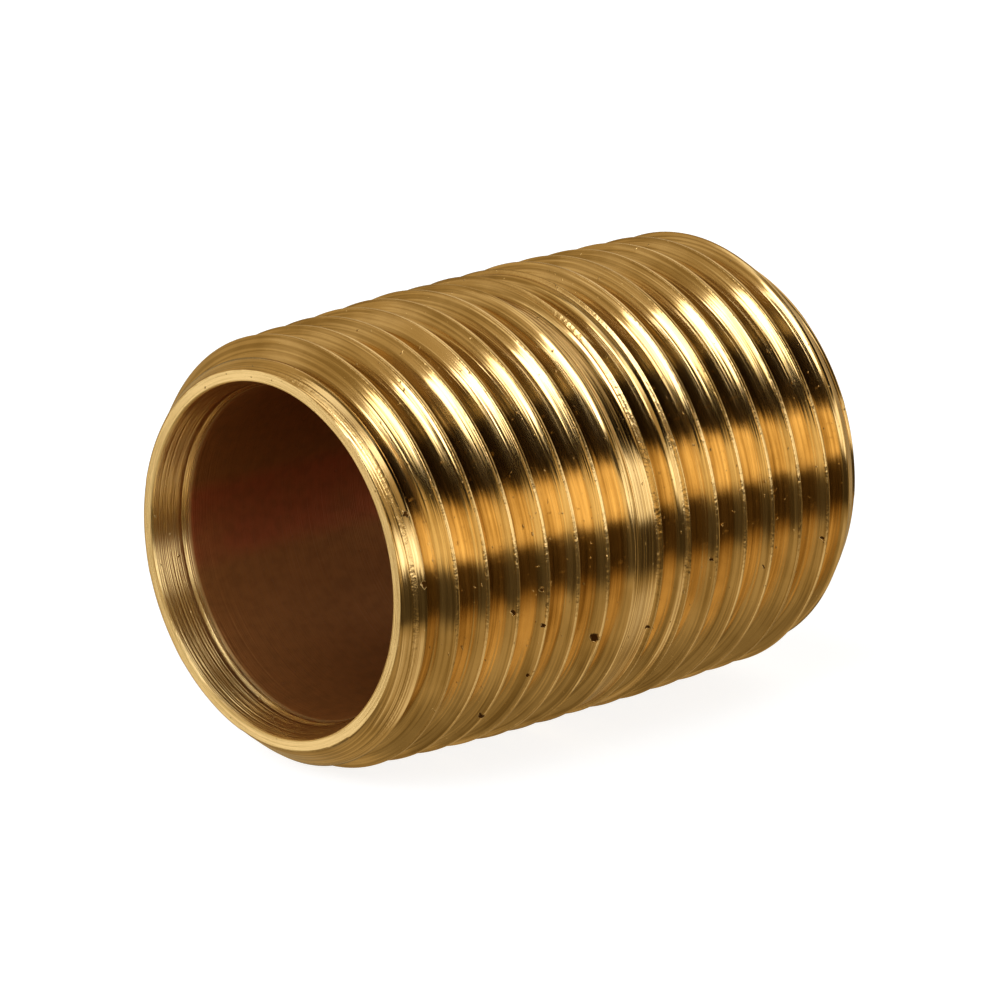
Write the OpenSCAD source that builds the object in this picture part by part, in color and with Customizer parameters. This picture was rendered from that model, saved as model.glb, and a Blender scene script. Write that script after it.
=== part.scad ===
// Close pipe nipple, 1/2-14 NPT, brass.
// One piece of brass tube threaded from both ends until the two threads meet.
// Frame: the axis of the bore is X, the origin is on it at mid-length, and +Z is up.
// Angles about the axis are measured from +Z towards -Y, right-handed about +X.

/* [Tube] */
// Length over the two end faces, 1-1/8 inch
nipple_len = 28.575; // [27:0.1:31]
// Diameter of the stock before threading, 0.840 inch
stock_d = 21.336; // [21:0.05:22]
// Diameter of the straight bore, 5/8 inch
bore_d = 15.875; // [14:0.05:16.2]

/* [Thread] */
// Threads in one inch of length
threads_per_inch = 14; // [13:0.5:16]
// Pitch diameter in the plane of each end face
end_pitch_d = 19.264; // [19:0.05:19.5]
// Growth of the diameter in each millimetre away from the end face
taper = 0.0625; // [0.05:0.0025:0.07]
// Half of the angle between the flanks
flank_angle = 30; // [27:0.5:30]
// Height taken off the sharp crest, in pitches
crest_cut = 0.07; // [0.04:0.005:0.1]
// Length of full thread from each end face
full_thread_len = 12.9; // [9:0.1:13.5]
// Rise of the groove floor in each millimetre past the full thread
runout_rise = 0.9; // [0.4:0.05:1.2]
// Depth of the shallow last turn that the rise leads to
last_turn_depth = 0.28; // [0.1:0.02:0.5]
// Distance from the end face at which the last turn stops
thread_end = 16.5; // [15:0.1:17]
// Angle at which the groove of the left thread crosses its end face
left_start = 159; // [0:1:359]
// Angle at which the groove of the right thread crosses its end face
right_start = 132; // [0:1:359]

/* [Ends] */
// Outer diameter of the flat ring at each end
face_od = 18.1; // [17.6:0.05:18.6]
// Angle between the outside chamfer and the axis
chamfer_angle = 36.5; // [30:0.5:45]
// Diameter of the countersink in the plane of the end face
mouth_d = 17; // [16.5:0.05:17.2]
// Depth of the countersink
mouth_depth = 2.1; // [1:0.1:3]
// Distance of the turned line in the countersink from the end face
line_depth = 1.45; // [1:0.05:1.6]
// Width of the turned line
line_w = 0.16; // [0.1:0.02:0.3]

/* [Hidden] */

round_fn = 96;
steps = 48;
pitch = 25.4 / threads_per_inch;
half_len = nipple_len / 2;
// Height of the sharp V and half the width of the flat on a crest, in pitches
v_height = 0.5 / tan(flank_angle);
crest_half = crest_cut * tan(flank_angle);

mouth_slope = (mouth_d - bore_d) / 2 / mouth_depth;
// Depth of the turned line, cut by a tool with a right-angled point
line_cut = line_w / 2;
// The tube's profile stands this much clear of the thread's crests
stock_clear = 0.2;

// The grooves of the two threads run side by side. This is how far the right
// thread's groove sits past the left thread's, as a fraction of a pitch.
offset_turns = nipple_len / pitch - (right_start - left_start) / 360;
right_offset = offset_turns - floor(offset_turns);

// Places across one pitch where the surface has an edge: the groove floor and
// the two edges of the crest, for the left thread and then for the right one.
left_edges = [0, 0.5 - crest_half, 0.5 + crest_half];
right_edges = [for (e = left_edges) (e + right_offset) % 1];
edges = sorted(concat(left_edges, right_edges));

// Turns of thread that are modelled, with spare ones past each end to be cut off
spare_turns = 2;
first_turn = -spare_turns;
turn_count = ceil(nipple_len / pitch) + 2 * spare_turns;
rows = [for (t = [first_turn : first_turn + turn_count - 1]) for (e = edges) t + e];
per_turn = len(edges);

function sorted(v) = len(v) <= 1 ? v :
    let (pivot = v[0], rest = [for (i = [1 : len(v) - 1]) v[i]])
    concat(sorted([for (e = rest) if (e < pivot) e]), [pivot],
           sorted([for (e = rest) if (e >= pivot) e]));

// Radius left by one thread. dist is the distance from its own end face, and
// turns is the same place counted in turns from the middle of a groove.
function pitch_radius(dist) = (end_pitch_d + taper * dist) / 2;
function groove_floor(dist) = pitch_radius(dist) - v_height * pitch / 2;
function crest_radius(dist) = pitch_radius(dist) + (v_height / 2 - crest_cut) * pitch;
function flank_radius(dist, turns) =
    groove_floor(dist) + abs(turns - round(turns)) * pitch / tan(flank_angle);
function runout_radius(dist) =
    dist < full_thread_len ? 0 :
    dist > thread_end ? stock_d / 2 :
    min(groove_floor(full_thread_len) + runout_rise * (dist - full_thread_len),
        stock_d / 2 - last_turn_depth);
function thread_radius(dist, turns) =
    min(crest_radius(dist), max(flank_radius(dist, turns), runout_radius(dist)));

// Radius of the threaded bar at a row of the mesh
function bar_radius(dist, row) =
    min(stock_d / 2,
        thread_radius(dist, row),
        thread_radius(nipple_len - dist, row - right_offset));

function ring_point(x, radius, angle) = [x, -radius * sin(angle), radius * cos(angle)];

// The bar as a mesh whose rows follow the helix of the grooves. Row r on one
// step meets row r on the next, and after a full turn the next turn's row r.
module threaded_bar() {
    points = [for (i = [0 : steps - 1]) for (row = rows)
        let (angle = 360 * i / steps,
             dist = (row + (angle - left_start) / 360) * pitch)
        ring_point(dist - half_len, bar_radius(dist, row), angle)];
    left_tip = len(points);
    right_tip = left_tip + 1;
    tips = [[points[0][0] - pitch, 0, 0], [points[left_tip - 1][0] + pitch, 0, 0]];
    last = steps - 1;
    top = len(rows) - 1;

    function id(i, r) = i < steps ? i * len(rows) + r : r + per_turn;

    skin = [for (i = [0 : last])
        for (r = [0 : top - 1 - (i == last ? per_turn : 0)])
            for (corner = [[id(i + 1, r + 1), id(i + 1, r)], [id(i, r + 1), id(i + 1, r + 1)]])
                concat([id(i, r)], corner)];
    left_cap = concat(
        [for (i = [0 : last]) [left_tip, id(i, 0), id(i + 1, 0)]],
        [for (r = [0 : per_turn - 1]) [left_tip, r + 1, r]]);
    right_cap = concat(
        [for (i = [0 : last - 1]) [right_tip, id(i + 1, top), id(i, top)]],
        [for (r = [top - per_turn : top - 1]) [right_tip, id(last, r), id(last, r + 1)]],
        [[right_tip, top, id(last, top - per_turn)]]);
    polyhedron(concat(points, tips), concat(skin, left_cap, right_cap));
}

// The tube as it is before threading: faced, chamfered, bored and countersunk
module turned_tube() {
    chamfer_len = (stock_d - face_od) / 2 / tan(chamfer_angle);
    end_profile = [
        [mouth_radius(mouth_depth), mouth_depth],
        [mouth_radius(line_depth + line_w), line_depth + line_w],
        [mouth_radius(line_depth) + line_cut, line_depth + line_w / 2],
        [mouth_radius(line_depth), line_depth],
        [mouth_radius(0), 0],
        [face_od / 2, 0],
        [stock_d / 2 + stock_clear, chamfer_len + stock_clear / tan(chamfer_angle)],
    ];
    left_side = [for (p = end_profile) [p[0], p[1] - half_len]];
    right_side = [for (i = [len(end_profile) - 1 : -1 : 0])
        [end_profile[i][0], half_len - end_profile[i][1]]];
    rotate([0, 90, 0])
        rotate_extrude($fn = round_fn)
            polygon(concat(left_side, right_side));
}

function mouth_radius(depth) = mouth_d / 2 - mouth_slope * depth;

// One solid: the turned tube with both threads on it
module close_nipple() {
    color("goldenrod")
        intersection() {
            turned_tube();
            threaded_bar();
        }
}

close_nipple();
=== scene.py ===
"""The look of a brass close pipe nipple, 1/2-14 NPT, standing on a pale studio floor.

Lengths in this script are millimetres until a mesh is made, where MM turns them into metres.
The axis of the bore is X. Angles about the axis are measured from +Z towards -Y.
"""

import math

import bpy
import numpy as np
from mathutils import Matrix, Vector


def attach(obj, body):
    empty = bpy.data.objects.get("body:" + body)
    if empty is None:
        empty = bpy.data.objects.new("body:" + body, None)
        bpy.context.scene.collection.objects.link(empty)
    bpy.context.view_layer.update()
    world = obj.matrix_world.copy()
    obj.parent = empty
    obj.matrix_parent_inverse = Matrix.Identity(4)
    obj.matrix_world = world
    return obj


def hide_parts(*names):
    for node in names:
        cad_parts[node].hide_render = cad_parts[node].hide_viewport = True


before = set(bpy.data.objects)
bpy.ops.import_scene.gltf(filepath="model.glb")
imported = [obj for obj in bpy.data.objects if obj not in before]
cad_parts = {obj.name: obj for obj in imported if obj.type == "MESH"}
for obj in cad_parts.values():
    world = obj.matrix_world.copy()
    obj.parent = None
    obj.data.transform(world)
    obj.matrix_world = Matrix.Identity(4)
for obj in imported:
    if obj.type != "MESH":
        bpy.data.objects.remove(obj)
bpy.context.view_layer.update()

MM = 0.001

# The tube, as in the CAD model
LENGTH = 28.575
STOCK_RADIUS = 10.668
BORE_RADIUS = 7.9375
FACE_RADIUS = 9.05
CHAMFER_ANGLE = math.radians(36.5)
MOUTH_RADIUS = 8.5
MOUTH_DEPTH = 2.1
LINE_DEPTH = 1.45
LINE_WIDTH = 0.16

# The threads, as in the CAD model
PITCH = 25.4 / 14
END_PITCH_RADIUS = 9.632
TAPER = 0.0625 / 2
CREST_HEIGHT = 0.363
ROOT_DEPTH = 0.433
FULL_THREAD = 12.9
RUNOUT_RISE = 0.9
LAST_TURN_DEPTH = 0.28
THREAD_END = 16.5
LEFT_START = 159
RIGHT_START = 132
# Rise of a flank for each millimetre along the axis, at the root and at the crest
ROOT_SLOPE = 2.1
CREST_SLOPE = 1.3

# The mesh of the threads: columns around the axis, and rows that follow the helix
COLUMNS = 240
HALF_TURN_ROWS = [0.015, 0.045, 0.1, 0.18, 0.26, 0.34, 0.41, 0.443, 0.461, 0.478]
TURN_ROWS = [0, *HALF_TURN_ROWS, 0.5, *[1 - f for f in reversed(HALF_TURN_ROWS)]]
SPARE_TURNS = 2
EDGE_ROUNDING = 0.03
ROOT_ROUNDING = 0.03
# The last turn comes up to the stock over this length
LAST_TURN_FADE = 0.3
# Sharp edges of the end faces and countersinks are broken by this much
EDGE_BREAK = 0.03
OUTER_EDGE_RADIUS = FACE_RADIUS - 0.02
# The bore has plain rings between these distances from its ends
PLAIN_BORE_FROM = 4
PLAIN_BORE_RINGS = 12


def smooth_min(a, b, width):
    """The smaller of a and b, with the corner between them rounded over width."""
    share = np.clip(0.5 + 0.5 * (b - a) / width, 0, 1)
    return b + (a - b) * share - width * share * (1 - share)


def smooth_max(a, b, width):
    return -smooth_min(-a, -b, width)


def smooth_step(value, start, end):
    t = np.clip((value - start) / (end - start), 0, 1)
    return t * t * (3 - 2 * t)


def thread_radius(dist, turns):
    """Radius left by one thread, dist from its own end face and turns from a groove centre."""
    pitch_radius = END_PITCH_RADIUS + TAPER * dist
    floor = pitch_radius - ROOT_DEPTH * PITCH
    away = np.sqrt((turns - np.round(turns)) ** 2 + (ROOT_ROUNDING / 4) ** 2)
    slope = ROOT_SLOPE - (ROOT_SLOPE - CREST_SLOPE) * away
    flank = floor + slope * away * PITCH
    # Past the full thread the groove has a flat floor, level with its centre line
    centre = dist - (turns - np.round(turns)) * PITCH
    full_floor = END_PITCH_RADIUS + TAPER * FULL_THREAD - ROOT_DEPTH * PITCH
    rising = full_floor + RUNOUT_RISE * (centre - FULL_THREAD)
    runout = np.minimum(rising, STOCK_RADIUS - LAST_TURN_DEPTH)
    runout = runout + LAST_TURN_DEPTH * smooth_step(centre, THREAD_END - LAST_TURN_FADE, THREAD_END)
    groove = smooth_max(flank, runout, ROOT_ROUNDING)
    return smooth_min(groove, pitch_radius + CREST_HEIGHT * PITCH, EDGE_ROUNDING)


right_offset = (LENGTH / PITCH - (RIGHT_START - LEFT_START) / 360) % 1
# The rows lean over from the left thread's grooves to the right thread's in mid-length
row_shift = (right_offset + 0.5) % 1 - 0.5


def outside_radius(dist, angle):
    """Radius of the threaded outside at a distance from the left face and an angle in degrees."""
    left_turns = dist / PITCH - (angle - LEFT_START) / 360
    # Each thread's turns count away from its own end
    right_turns = right_offset - left_turns
    threads = smooth_min(
        thread_radius(dist, left_turns),
        thread_radius(LENGTH - dist, right_turns),
        EDGE_ROUNDING,
    )
    bar = smooth_min(threads, STOCK_RADIUS, EDGE_ROUNDING)
    from_end = np.minimum(dist, LENGTH - dist)
    chamfer = FACE_RADIUS + from_end * math.tan(CHAMFER_ANGLE)
    return smooth_min(bar, chamfer, EDGE_ROUNDING)


def ring_profile():
    """Inside of the left end: (distance from the face, radius) from its ring to its bore."""
    slope = (MOUTH_RADIUS - BORE_RADIUS) / MOUTH_DEPTH
    # Rings this close to an edge keep it crisp under smooth shading
    beside = 0.01

    def cone(depth):
        return depth, MOUTH_RADIUS - slope * depth

    line_mid = LINE_DEPTH + LINE_WIDTH / 2
    profile = [(0.0, r) for r in np.linspace(FACE_RADIUS - 0.1, MOUTH_RADIUS + EDGE_BREAK, 6)]
    profile += [cone(d) for d in np.linspace(EDGE_BREAK, LINE_DEPTH - beside, 12)]
    profile += [(line_mid, cone(line_mid)[1] + LINE_WIDTH / 3)]
    line_end = LINE_DEPTH + LINE_WIDTH + beside
    profile += [cone(d) for d in np.linspace(line_end, MOUTH_DEPTH - EDGE_BREAK, 4)]
    profile += [(MOUTH_DEPTH + 0.04, BORE_RADIUS)]
    return profile


def build_nipple():
    """The whole nipple as one closed mesh: its points, its faces, and a phase for each corner."""
    angles = np.arange(COLUMNS) * 360 / COLUMNS
    turns = range(-SPARE_TURNS, math.ceil(LENGTH / PITCH) + SPARE_TURNS)
    rows = np.array([turn + part for turn in turns for part in TURN_ROWS])
    per_turn = len(TURN_ROWS)

    # Distance of every grid point from the left face, before the ends are cut off
    straight = (rows[None, :] + (angles[:, None] - LEFT_START) / 360) * PITCH
    lean = row_shift * PITCH * smooth_step(straight, FULL_THREAD, LENGTH - FULL_THREAD)
    dist = np.clip(straight + lean, 0, LENGTH)
    angle = np.broadcast_to(angles[:, None], dist.shape)
    radius = outside_radius(dist, angle)

    # Rows past an end all fall on that end's outer edge, so they share one point per column
    vertex = np.zeros(dist.shape, int)
    inside = (dist > 0) & (dist < LENGTH)
    vertex[inside] = np.arange(inside.sum())
    count = int(inside.sum())
    left_edge = count + np.arange(COLUMNS)
    right_edge = left_edge + COLUMNS
    for column in range(COLUMNS):
        vertex[column][dist[column] <= 0] = left_edge[column]
        vertex[column][dist[column] >= LENGTH] = right_edge[column]
    count += 2 * COLUMNS

    xs = [dist[inside], np.zeros(COLUMNS), np.full(COLUMNS, LENGTH)]
    outer_edge = np.full(COLUMNS, OUTER_EDGE_RADIUS)
    rs = [radius[inside], outer_edge, outer_edge]
    ts = [angle[inside], angles, angles]

    faces = []
    phases = []
    for column in range(COLUMNS):
        after = (column + 1) % COLUMNS
        wrap = per_turn if after == 0 else 0
        for row in range(len(rows) - 1 - wrap):
            corners = [
                (vertex[column, row], column, row),
                (vertex[after, row + wrap], column + 1, row),
                (vertex[after, row + 1 + wrap], column + 1, row + 1),
                (vertex[column, row + 1], column, row + 1),
            ]
            face = []
            for corner in corners:
                if corner[0] not in [f[0] for f in face]:
                    face.append(corner)
            if len(face) > 2:
                faces.append([int(f[0]) for f in face])
                phases += [(rows[f[2]], f[1] / COLUMNS, 1.0) for f in face]

    # The rings of the left end, the bore, and the rings of the right end
    left_rings = ring_profile()
    plain = np.linspace(PLAIN_BORE_FROM, LENGTH - PLAIN_BORE_FROM, PLAIN_BORE_RINGS)
    bore_rings = [(d, BORE_RADIUS) for d in plain]
    right_rings = [(LENGTH - d, r) for d, r in reversed(left_rings)]
    previous = left_edge
    for x, r in left_rings + bore_rings + right_rings:
        ring = count + np.arange(COLUMNS)
        count += COLUMNS
        xs.append(np.full(COLUMNS, x))
        rs.append(np.full(COLUMNS, r))
        ts.append(angles)
        faces += band(previous, ring)
        previous = ring
    faces += band(previous, right_edge)

    x = np.concatenate(xs)
    r = np.concatenate(rs)
    t = np.radians(np.concatenate(ts))
    points = np.stack([x - LENGTH / 2, -r * np.sin(t), r * np.cos(t)], axis=1)
    return points, faces, phases


def band(ring, next_ring):
    """Quads between two rings of COLUMNS points."""
    after = np.roll(np.arange(COLUMNS), -1)
    return [
        [int(ring[i]), int(next_ring[i]), int(next_ring[after[i]]), int(ring[after[i]])]
        for i in range(COLUMNS)
    ]


def make_object(name, points, faces):
    mesh = bpy.data.meshes.new(name)
    mesh.from_pydata((points * MM).tolist(), [], faces)
    mesh.validate()
    mesh.update()
    mesh.shade_smooth()
    obj = bpy.data.objects.new(name, mesh)
    bpy.context.scene.collection.objects.link(obj)
    return obj


# thread_phase on a corner: turns along the thread, part of a turn round the axis, and 1 on
# the threaded outside or 0 inside. The two sides of the seam have different values that mean
# the same place on the thread, so lines cross it unbroken.
points, faces, phases = build_nipple()
nipple = make_object("brass_close_nipple", points, faces)
corner_phase = nipple.data.attributes.new("thread_phase", "FLOAT_VECTOR", "CORNER")
corner_count = len(nipple.data.loops)
phases += [(0.0, 0.0, 0.0)] * (corner_count - len(phases))
corner_phase.data.foreach_set("vector", np.array(phases, np.float32).ravel())


class Nodes:
    """Adds shader nodes to a tree. An input's value is a number, a colour or another node's output."""

    def __init__(self, tree):
        self.tree = tree
        tree.nodes.clear()

    def add(self, kind, inputs=None, **settings):
        node = self.tree.nodes.new(kind)
        for name, value in settings.items():
            setattr(node, name, value)
        for key, value in (inputs or {}).items():
            self.put(node.inputs[key], value)
        return node

    def put(self, socket, value):
        if isinstance(value, bpy.types.NodeSocket):
            self.tree.links.new(value, socket)
        else:
            socket.default_value = value

    def math(self, operation, a, b=0.0, c=0.0):
        return self.add("ShaderNodeMath", {0: a, 1: b, 2: c}, operation=operation).outputs[0]

    def smooth(self, value, start, end, low=0.0, high=1.0):
        """Goes smoothly from low at start to high at end."""
        ranges = {"Value": value, "From Min": start, "From Max": end, "To Min": low, "To Max": high}
        return self.add("ShaderNodeMapRange", ranges, interpolation_type="SMOOTHSTEP").outputs[0]

    def window(self, value, low, high, soft):
        """1 between low and high, and 0 outside, with soft edges."""
        rise = self.smooth(value, low - soft, low + soft)
        fall = self.smooth(value, high - soft, high + soft, 1.0, 0.0)
        return self.math("MULTIPLY", rise, fall)

    def noise(self, vector, scale, detail):
        inputs = {"Vector": vector, "Scale": scale, "Detail": detail}
        return self.add("ShaderNodeTexNoise", inputs).outputs[0]

    def blend(self, share, a, b):
        """A number that is a where share is 0, and b where it is 1."""
        node = self.add("ShaderNodeMix", data_type="FLOAT")
        self.put(node.inputs[0], share)
        self.put(node.inputs[2], a)
        self.put(node.inputs[3], b)
        return node.outputs[0]

    def mix(self, share, a, b):
        node = self.add("ShaderNodeMix", data_type="RGBA")
        self.put(node.inputs[0], share)
        self.put(node.inputs[6], a)
        self.put(node.inputs[7], b)
        return node.outputs[2]


# Pits and stains on the outside: distance from the left face, angle, and size
PITS = [
    (11.35, 111.5, 0.55),
    (5.85, 97, 0.3),
    (7.6, 93, 0.26),
    (7.75, 103, 0.26),
    (6.1, 132, 0.34),
    (7.8, 119, 0.2),
    (14.85, 113.5, 0.24),
    (25.5, 101, 0.24),
    (18.2, 97.5, 0.16),
    (21.85, 104.5, 0.16),
    (0.7, 64, 0.28),
    (0.9, 84, 0.36),
]
BRASS = (0.91, 0.68, 0.35, 1)
FRESH_BRASS = (0.92, 0.73, 0.4, 1)
DULL_BRASS = (0.5, 0.34, 0.13, 1)
# This colour is real dirt where the grit is, and painted shade where it darkens the groove roots
DIRT_AND_GROOVE_SHADE = (0.3, 0.2, 0.08, 1)
OXIDE = (0.36, 0.165, 0.055, 1)
# A painted reflection: the red of the bands about mid-height in the bore
PAINTED_RED_REFLECTION = (0.42, 0.13, 0.055, 1)
STAIN = (0.14, 0.07, 0.02, 1)

# Bump heights are in steps of this many millimetres
BUMP_STEP = 0.011
# Cells across a flank, cells along one turn, and height in steps
FINE_LINES = (30.0, 9.0, 1.0)
MIDDLE_LINES = (15.0, 5.0, 2.2)
SLOW_WAVES = (1.6, 14.0, 4.5)
# Share of the middle lines in the coloured streaks; the fine lines make the rest
MIDDLE_SHARE = 0.6
RINGS_PER_MM = 11.0
RING_HEIGHT = 3.4
NICK_HEIGHT = 2.0
BURR_HEIGHT = 3.0
STAIN_DEPTH = 4.0
# The crest, as a part of the way from one groove centre to the next
CREST_BAND = (0.44, 0.56)
# The redder stripes in the bore are painted reflections; they lie between these heights, in millimetres
# from the axis
RED_REFLECTION_HEIGHTS = (-2.4, 1.2)
# How far the edge of a stain wanders, in millimetres
RAGGED_EDGE = 0.35

BRIGHT_ROUGHNESS = 0.12
FACE_ROUGHNESS = 0.25
BORE_ROUGHNESS = 0.48
STAIN_ROUGHNESS = 0.6


def thread_lines(n, phase):
    """Lines that the threading tool leaves: fine across a flank, and long down the helix."""
    split = n.add("ShaderNodeSeparateXYZ", {0: phase})
    across = n.math("FRACT", split.outputs[0])
    along = n.math("ADD", n.math("FLOOR", split.outputs[0]), split.outputs[1])
    heights = []
    for cells, stretch, height in (FINE_LINES, MIDDLE_LINES, SLOW_WAVES):
        point = {0: n.math("MULTIPLY", across, cells), 1: n.math("MULTIPLY", along, stretch)}
        # Each size takes its own slice of the noise
        point[2] = height
        vector = n.add("ShaderNodeCombineXYZ", point).outputs[0]
        heights.append(n.math("MULTIPLY", n.noise(vector, 1.0, 1.5), height))
    fine, middle, slow = heights
    total = n.math("ADD", n.math("ADD", fine, middle), slow)
    from_middle = n.math("MULTIPLY", middle, MIDDLE_SHARE / MIDDLE_LINES[2])
    from_fine = n.math("MULTIPLY", fine, (1 - MIDDLE_SHARE) / FINE_LINES[2])
    streak = n.math("ADD", from_middle, from_fine)
    return total, streak, across, split.outputs[2]


def turned_lines(n, xyz, radius):
    """Lines that turning leaves: rings on the faces, in the countersinks and in the bore."""
    length = n.math("ABSOLUTE", xyz.outputs[0])
    meridian = n.math("MULTIPLY", n.math("ADD", length, radius), RINGS_PER_MM / MM)
    # The noise changes slowly round the axis, so each ring fades in and out
    drift = 120.0
    point = {0: meridian, 1: n.math("MULTIPLY", xyz.outputs[1], drift)}
    point[2] = n.math("MULTIPLY", xyz.outputs[2], drift)
    vector = n.add("ShaderNodeCombineXYZ", point).outputs[0]
    return n.noise(vector, 1.0, 3.0)


def stains(n, place):
    """1 where a pit or stain is, with ragged edges."""
    ragged = n.add("ShaderNodeTexNoise", {"Vector": place, "Scale": 5.0 / MM, "Detail": 2.0})
    shift = n.add(
        "ShaderNodeVectorMath", {0: ragged.outputs["Color"], 1: (0.5, 0.5, 0.5)}, operation="SUBTRACT"
    )
    shifted = n.add("ShaderNodeVectorMath", {0: shift.outputs[0]}, operation="SCALE")
    shifted.inputs["Scale"].default_value = RAGGED_EDGE * MM
    moved = n.add("ShaderNodeVectorMath", {0: place, 1: shifted.outputs[0]}, operation="ADD").outputs[0]
    total = 0.0
    for dist, angle, size in PITS:
        turn = math.radians(angle)
        r = float(outside_radius(np.array([dist]), angle)[0])
        centre = (
            (dist - LENGTH / 2) * MM,
            -r * math.sin(turn) * MM,
            r * math.cos(turn) * MM,
        )
        away = n.add("ShaderNodeVectorMath", {0: moved, 1: centre}, operation="DISTANCE").outputs["Value"]
        spot = n.smooth(away, size * 0.3 * MM, size * 0.55 * MM, 1.0, 0.0)
        total = n.math("MAXIMUM", total, spot)
    return total


def brass_material():
    material = bpy.data.materials.new("turned_brass")
    material.use_nodes = True
    n = Nodes(material.node_tree)
    phase = n.add("ShaderNodeAttribute", attribute_name="thread_phase", attribute_type="GEOMETRY")
    place = n.add("ShaderNodeTexCoord").outputs["Object"]
    xyz = n.add("ShaderNodeSeparateXYZ", {0: place})
    radial = n.add("ShaderNodeCombineXYZ", {0: 0.0, 1: xyz.outputs[1], 2: xyz.outputs[2]})
    radius = n.add("ShaderNodeVectorMath", {0: radial.outputs[0]}, operation="LENGTH").outputs["Value"]

    helical, streak, across, outside = thread_lines(n, phase.outputs["Vector"])
    rings = n.math("MULTIPLY", turned_lines(n, xyz, radius), RING_HEIGHT)
    lines = n.blend(outside, rings, helical)

    # Crests are nicked and a little rough
    crest = n.math("MULTIPLY", n.window(across, *CREST_BAND, 0.015), outside)
    nicks = n.noise(place, 4.0 / MM, 3.0)
    height = n.math("ADD", lines, n.math("MULTIPLY", crest, n.math("MULTIPLY", nicks, NICK_HEIGHT)))

    # Burrs, fine dirt and handling marks
    cloud = n.noise(place, 0.35 / MM, 4.0)
    grit = n.smooth(n.noise(place, 4.0 / MM, 2.0), 0.71, 0.8)
    height = n.math("ADD", height, n.math("MULTIPLY", grit, BURR_HEIGHT))
    spots = stains(n, place)
    height = n.math("SUBTRACT", height, n.math("MULTIPLY", spots, STAIN_DEPTH))

    # The bore is oxidised, with painted red reflections about mid-height
    in_bore = n.smooth(radius, (BORE_RADIUS + 0.01) * MM, (BORE_RADIUS + 0.09) * MM, 1.0, 0.0)
    low = n.window(xyz.outputs[2], RED_REFLECTION_HEIGHTS[0] * MM, RED_REFLECTION_HEIGHTS[1] * MM, 0.6 * MM)
    # Painted reflection: the share of red in the band, broken up by the cloud noise
    red_reflection = n.math("MULTIPLY", low, n.smooth(cloud, 0.1, 0.6, 0.3, 0.9))
    oxide_and_red_reflection = n.mix(red_reflection, OXIDE, PAINTED_RED_REFLECTION)
    oxide_and_red_reflection = n.mix(n.smooth(n.noise(place, 2.0 / MM, 5.0), 0.35, 0.75, 0.0, 0.25), oxide_and_red_reflection, STAIN)
    # Brass dulls in clouds and in streaks along the tool lines, and is darkened towards the groove roots
    # with painted shade
    dull = n.math("MULTIPLY", n.smooth(cloud, 0.35, 0.7), 0.35)
    dull = n.math("ADD", dull, n.smooth(streak, 0.44, 0.6, 0.0, 0.6))
    golden = n.mix(n.math("MINIMUM", dull, 0.9), BRASS, DULL_BRASS)
    from_crest = n.math("ABSOLUTE", n.math("SUBTRACT", across, 0.5))
    # Painted shade: up to 30% of the dark colour towards the groove roots, where shade falls
    golden = n.mix(n.smooth(from_crest, 0.28, 0.5, 0.0, 0.3), golden, DIRT_AND_GROOVE_SHADE)
    golden = n.mix(outside, FRESH_BRASS, golden)
    golden = n.mix(n.math("MULTIPLY", grit, 0.35), golden, DIRT_AND_GROOVE_SHADE)
    colour = n.mix(in_bore, golden, oxide_and_red_reflection)
    colour = n.mix(spots, colour, STAIN)

    rough = n.math("ADD", BRIGHT_ROUGHNESS, n.math("MULTIPLY", cloud, 0.07))
    rough = n.math("ADD", rough, n.math("MULTIPLY", crest, 0.08))
    rough = n.blend(outside, FACE_ROUGHNESS, rough)
    rough = n.blend(in_bore, rough, BORE_ROUGHNESS)
    rough = n.blend(spots, rough, STAIN_ROUGHNESS)

    shader = n.add("ShaderNodeBsdfPrincipled", {"Base Color": colour, "Roughness": rough})
    n.put(shader.inputs["Metallic"], n.blend(in_bore, 1.0, 0.6))
    shader.inputs["Anisotropic"].default_value = 0.65
    shader.inputs["Anisotropic Rotation"].default_value = 0.25
    tangent = n.add("ShaderNodeTangent", direction_type="RADIAL", axis="X")
    n.put(shader.inputs["Tangent"], tangent.outputs[0])
    bump = n.add("ShaderNodeBump", {"Strength": 1.0, "Distance": BUMP_STEP * MM, "Height": height})
    n.put(shader.inputs["Normal"], bump.outputs[0])

    output = n.add("ShaderNodeOutputMaterial")
    n.put(output.inputs["Surface"], shader.outputs[0])
    return material


nipple.data.materials.append(brass_material())
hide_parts("close_nipple")
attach(nipple, "root")


def make_floor():
    """A pale floor that the camera sees and that reflections don't."""
    size = 12000
    gap = 0.01
    z = -STOCK_RADIUS - gap
    corners = [(-size, -size, z), (size, -size, z), (size, size, z), (-size, size, z)]
    floor = make_object("floor", np.array(corners, float), [[0, 1, 2, 3]])
    material = bpy.data.materials.new("pale_floor")
    material.use_nodes = True
    n = Nodes(material.node_tree)
    matte = n.add("ShaderNodeBsdfDiffuse", {"Color": (0.44, 0.5, 0.6, 1)})
    glow = n.add("ShaderNodeEmission", {"Color": (1, 1, 1, 1), "Strength": 0.7})
    both = n.add("ShaderNodeAddShader", {0: matte.outputs[0], 1: glow.outputs[0]})
    output = n.add("ShaderNodeOutputMaterial")
    n.put(output.inputs["Surface"], both.outputs[0])
    floor.data.materials.append(material)
    floor.visible_glossy = False
    floor.visible_diffuse = False


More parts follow.
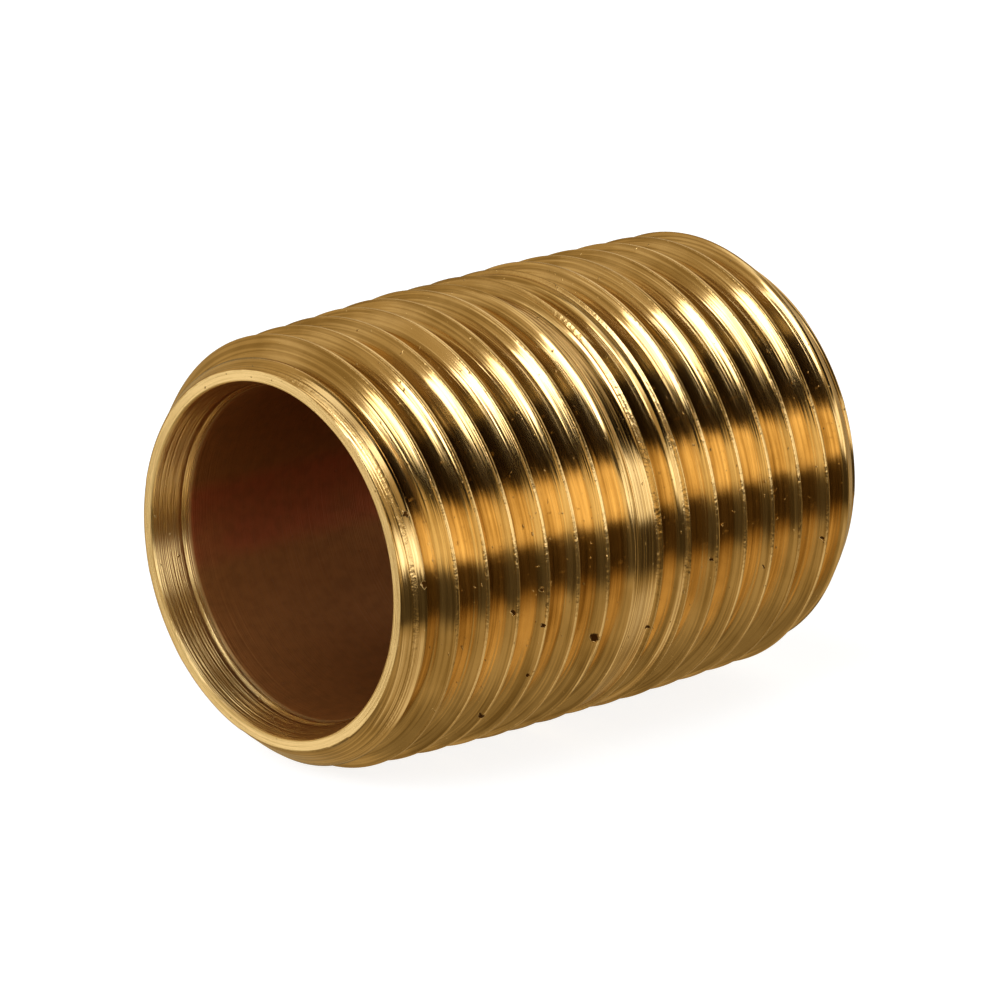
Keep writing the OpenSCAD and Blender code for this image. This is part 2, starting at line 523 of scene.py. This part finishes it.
# Parts of the room, in degrees: an amount, from and to which side, from and to which height,
# and how soft the edges are sideways and upward
DARK_PATCHES = [
    (0.97, (72.0, 158.0), (24.0, 78.0), 12.0, 4.0),  # above the strip in front
    (0.8, (35.0, 150.0), (-28.0, -3.0), 10.0, 4.0),  # below it
    (0.96, (-22.0, 38.0), (5.5, 20.0), 7.0, 2.0),  # left, below the key light
    (0.8, (-22.0, 35.0), (-27.0, -11.0), 8.0, 3.0),  # left, below the warm strip
    (0.35, (-75.0, 25.0), (-80.0, -50.0), 15.0, 6.0),  # low on the left
]
WARM_STRIP = (0.45, (-6.0, 35.0), (-10.0, 5.0), 6.0, 2.0)
LIGHT_PATCHES = [
    (0.85, (60.0, 150.0), (-3.0, 23.0), 15.0, 3.0),  # bright strip in front
    (3.2, (-14.0, 27.0), (21.5, 47.0), 2.0, 2.0),  # key light on the left
    (1.0, (28.0, 58.0), (44.0, 70.0), 5.0, 6.0),  # above and in front of the key
    (1.1, (42.0, 62.0), (0.0, 14.0), 6.0, 4.0),  # end of the strip
    (0.36, (-95.0, 0.0), (42.0, 76.0), 10.0, 6.0),  # high on the left
    (0.35, (-95.0, 20.0), (53.0, 76.0), 10.0, 4.0),  # higher still
    (0.12, (-75.0, -44.0), (15.0, 40.0), 6.0, 5.0),  # left, behind
    (0.9, (112.0, 130.0), (62.0, 76.0), 3.0, 3.0),  # small one overhead
    (0.26, (60.0, 160.0), (-95.0, -34.0), 15.0, 5.0),  # light off the floor in front
    (0.4, (165.0, 230.0), (5.0, 60.0), 12.0, 10.0),  # fill on the right
    (0.5, (-60.0, -36.0), (-40.0, 2.0), 8.0, 8.0),  # wall behind on the left
]


def make_world():
    """Soft studio light from all around, as a function of direction in degrees."""
    world = bpy.data.worlds.new("studio")
    bpy.context.scene.world = world
    world.use_nodes = True
    n = Nodes(world.node_tree)
    direction = n.add("ShaderNodeTexCoord").outputs["Generated"]
    xyz = n.add("ShaderNodeSeparateXYZ", {0: direction})
    to_degrees = 180 / math.pi
    height = n.math("MULTIPLY", n.math("ARCSINE", xyz.outputs[2]), to_degrees)
    # Sides are measured from -X: left is 0, front is 90 and right is 180. They run from the
    # join, behind the object on the left, round to join + 360. A patch is cut off at the join.
    join = -60.0
    bearing = n.math("MULTIPLY", n.math("ARCTAN2", xyz.outputs[1], xyz.outputs[0]), to_degrees)
    turned = n.math("MODULO", n.math("ADD", bearing, 540.0 - join), 360.0)
    side = n.math("SUBTRACT", turned, -join)

    def patch(sides, heights, soft_side, soft_height):
        """1 in one part of the room, and 0 outside it."""
        across = n.window(side, *sides, soft_side)
        upward = n.window(height, *heights, soft_height)
        return n.math("MULTIPLY", across, upward)

    def lit(level, amount, *area):
        return n.math("ADD", level, n.math("MULTIPLY", patch(*area), amount))

    def dimmed(level, share, *area):
        kept = n.math("SUBTRACT", 1.0, n.math("MULTIPLY", patch(*area), share))
        return n.math("MULTIPLY", level, kept)

    # The room itself is warm and dim, and darker overhead
    room = n.smooth(height, -40.0, -5.0, 0.36, 0.38)
    room = n.math("MULTIPLY", room, n.smooth(height, 58.0, 70.0, 1.0, 0.5))
    for share, *area in DARK_PATCHES:
        room = dimmed(room, share, *area)
    room = lit(room, *WARM_STRIP)
    lights = 0.0
    for amount, *area in LIGHT_PATCHES:
        lights = lit(lights, amount, *area)

    warm = n.add("ShaderNodeBackground", {"Color": (1, 0.77, 0.43, 1), "Strength": room})
    clean = n.add("ShaderNodeBackground", {"Color": (1, 1, 1, 1), "Strength": lights})
    both = n.add("ShaderNodeAddShader", {0: warm.outputs[0], 1: clean.outputs[0]})
    # The camera sees a plain pale backdrop instead
    backdrop = n.add("ShaderNodeBackground", {"Color": (1, 1, 1, 1), "Strength": 0.95})
    path = n.add("ShaderNodeLightPath")
    chosen = n.add("ShaderNodeMixShader", {0: path.outputs["Is Camera Ray"]})
    n.put(chosen.inputs[1], both.outputs[0])
    n.put(chosen.inputs[2], backdrop.outputs[0])
    output = n.add("ShaderNodeOutputWorld")
    n.put(output.inputs["Surface"], chosen.outputs[0])


def make_camera():
    """The photograph's view: a long lens, from the left, in front and a little above."""
    azimuth = math.radians(-41.96)
    elevation = math.radians(17.65)
    distance = 656.3 * MM
    aim = Vector((-0.04, 0.01, -0.06)) * MM
    flat = math.cos(elevation)
    toward = Vector((math.sin(azimuth) * flat, -math.cos(azimuth) * flat, math.sin(elevation)))
    camera_data = bpy.data.cameras.new("camera")
    camera_data.lens = 504
    camera_data.sensor_width = 36
    camera_data.clip_start = 0.01
    camera = bpy.data.objects.new("camera", camera_data)
    camera.location = aim + toward * distance
    camera.rotation_euler = (-toward).to_track_quat("-Z", "Y").to_euler()
    bpy.context.scene.collection.objects.link(camera)
    bpy.context.scene.camera = camera


make_floor()
make_world()
make_camera()
bpy.context.scene.view_settings.view_transform = "Standard"
bpy.context.scene.view_settings.look = "Medium High Contrast"
